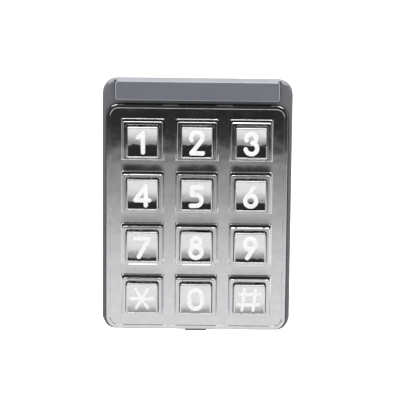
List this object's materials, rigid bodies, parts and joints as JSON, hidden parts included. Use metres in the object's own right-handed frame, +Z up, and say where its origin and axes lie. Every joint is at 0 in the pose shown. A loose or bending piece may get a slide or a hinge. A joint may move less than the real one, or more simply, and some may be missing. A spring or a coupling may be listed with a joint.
{
  "type": "keypad access reader",
  "caption": "Flush wall keypad with sprung square metal keys in raised collars on a plated bezel, a reader bar across the top and a rear case for a wall box.",
  "frame": {"origin": "centre of the wall face, midway between the two wall-box screws", "axes": "+Z up, +X to the right of the person at the keys, +Y into the wall; the keys face -Y and are pressed towards +Y"},
  "size_m": [0.076, 0.0365, 0.1048],
  "materials": {
    "housing_plastic": "fine moulded texture, mid grey",
    "bar_plastic": "fine moulded texture, mid grey",
    "bezel_chrome": "plated casting, handled",
    "key_chrome": "bright plated, with raised white figures",
    "black_rubber": "moulded",
    "black_foam": "closed-cell foam",
    "silicone": "translucent grey",
    "circuit_board": "green solder mask",
    "zinc_screw": "zinc plated",
    "steel_screw": "stainless",
    "zinc_plate": "zinc plated sheet",
    "lamp_resin": "clear resin",
    "bobbin_plastic": "natural nylon",
    "ferrite": "sintered",
    "copper_wire": "enamelled wire",
    "case_plastic": "black moulded",
    "connector_plastic": "black moulded",
    "terminal_plastic": "green moulded",
    "relay_plastic": "blue moulded",
    "chip_resin": "black epoxy",
    "capacitor_sleeve": "printed sleeve, plain"
  },
  "bodies": {
    "reader": {"housing": "housing_plastic", "reader_bar": "bar_plastic", "bezel_gasket": "black_rubber", "keypad_bezel": "bezel_chrome", "keypad_mat": "silicone", "keypad_board": "circuit_board", "board_screws": "zinc_screw", "bezel_screws": "zinc_screw", "indicator_board": "circuit_board", "status_leds": "lamp_resin", "antenna_bobbin": "bobbin_plastic", "ferrite_rod": "ferrite", "antenna_coil": "copper_wire", "rear_case": "case_plastic", "rear_case_screws": "zinc_screw", "cable_grommet": "black_rubber", "main_board": "circuit_board", "main_board_screws": "zinc_screw", "board_socket": "connector_plastic", "board_header": "connector_plastic", "terminal_block": "terminal_plastic", "terminal_screws": "zinc_screw", "door_relay": "relay_plastic", "controller_chip": "chip_resin", "filter_capacitors": "capacitor_sleeve", "piezo_buzzer": "connector_plastic", "tamper_sensor": "chip_resin", "mounting_plate": "zinc_plate", "wall_gasket": "black_foam", "security_screw": "steel_screw"},
    "key_1": {"key_1": "key_chrome"},
    "key_2": {"key_2": "key_chrome"},
    "key_3": {"key_3": "key_chrome"},
    "key_4": {"key_4": "key_chrome"},
    "key_5": {"key_5": "key_chrome"},
    "key_6": {"key_6": "key_chrome"},
    "key_7": {"key_7": "key_chrome"},
    "key_8": {"key_8": "key_chrome"},
    "key_9": {"key_9": "key_chrome"},
    "key_star": {"key_star": "key_chrome"},
    "key_0": {"key_0": "key_chrome"},
    "key_hash": {"key_hash": "key_chrome"}
  },
  "joints": [
    {"name": "key_1_press", "type": "slide", "parent": "reader", "child": "key_1", "axis": [0, 1, 0], "range_m": [0, 0.001], "stiffness_N_per_m": 1200, "deforming": ["keypad_mat"]},
    {"name": "key_2_press", "type": "slide", "parent": "reader", "child": "key_2", "axis": [0, 1, 0], "range_m": [0, 0.001], "stiffness_N_per_m": 1200, "deforming": ["keypad_mat"]},
    {"name": "key_3_press", "type": "slide", "parent": "reader", "child": "key_3", "axis": [0, 1, 0], "range_m": [0, 0.001], "stiffness_N_per_m": 1200, "deforming": ["keypad_mat"]},
    {"name": "key_4_press", "type": "slide", "parent": "reader", "child": "key_4", "axis": [0, 1, 0], "range_m": [0, 0.001], "stiffness_N_per_m": 1200, "deforming": ["keypad_mat"]},
    {"name": "key_5_press", "type": "slide", "parent": "reader", "child": "key_5", "axis": [0, 1, 0], "range_m": [0, 0.001], "stiffness_N_per_m": 1200, "deforming": ["keypad_mat"]},
    {"name": "key_6_press", "type": "slide", "parent": "reader", "child": "key_6", "axis": [0, 1, 0], "range_m": [0, 0.001], "stiffness_N_per_m": 1200, "deforming": ["keypad_mat"]},
    {"name": "key_7_press", "type": "slide", "parent": "reader", "child": "key_7", "axis": [0, 1, 0], "range_m": [0, 0.001], "stiffness_N_per_m": 1200, "deforming": ["keypad_mat"]},
    {"name": "key_8_press", "type": "slide", "parent": "reader", "child": "key_8", "axis": [0, 1, 0], "range_m": [0, 0.001], "stiffness_N_per_m": 1200, "deforming": ["keypad_mat"]},
    {"name": "key_9_press", "type": "slide", "parent": "reader", "child": "key_9", "axis": [0, 1, 0], "range_m": [0, 0.001], "stiffness_N_per_m": 1200, "deforming": ["keypad_mat"]},
    {"name": "key_star_press", "type": "slide", "parent": "reader", "child": "key_star", "axis": [0, 1, 0], "range_m": [0, 0.001], "stiffness_N_per_m": 1200, "deforming": ["keypad_mat"]},
    {"name": "key_0_press", "type": "slide", "parent": "reader", "child": "key_0", "axis": [0, 1, 0], "range_m": [0, 0.001], "stiffness_N_per_m": 1200, "deforming": ["keypad_mat"]},
    {"name": "key_hash_press", "type": "slide", "parent": "reader", "child": "key_hash", "axis": [0, 1, 0], "range_m": [0, 0.001], "stiffness_N_per_m": 1200, "deforming": ["keypad_mat"]}
  ]
}
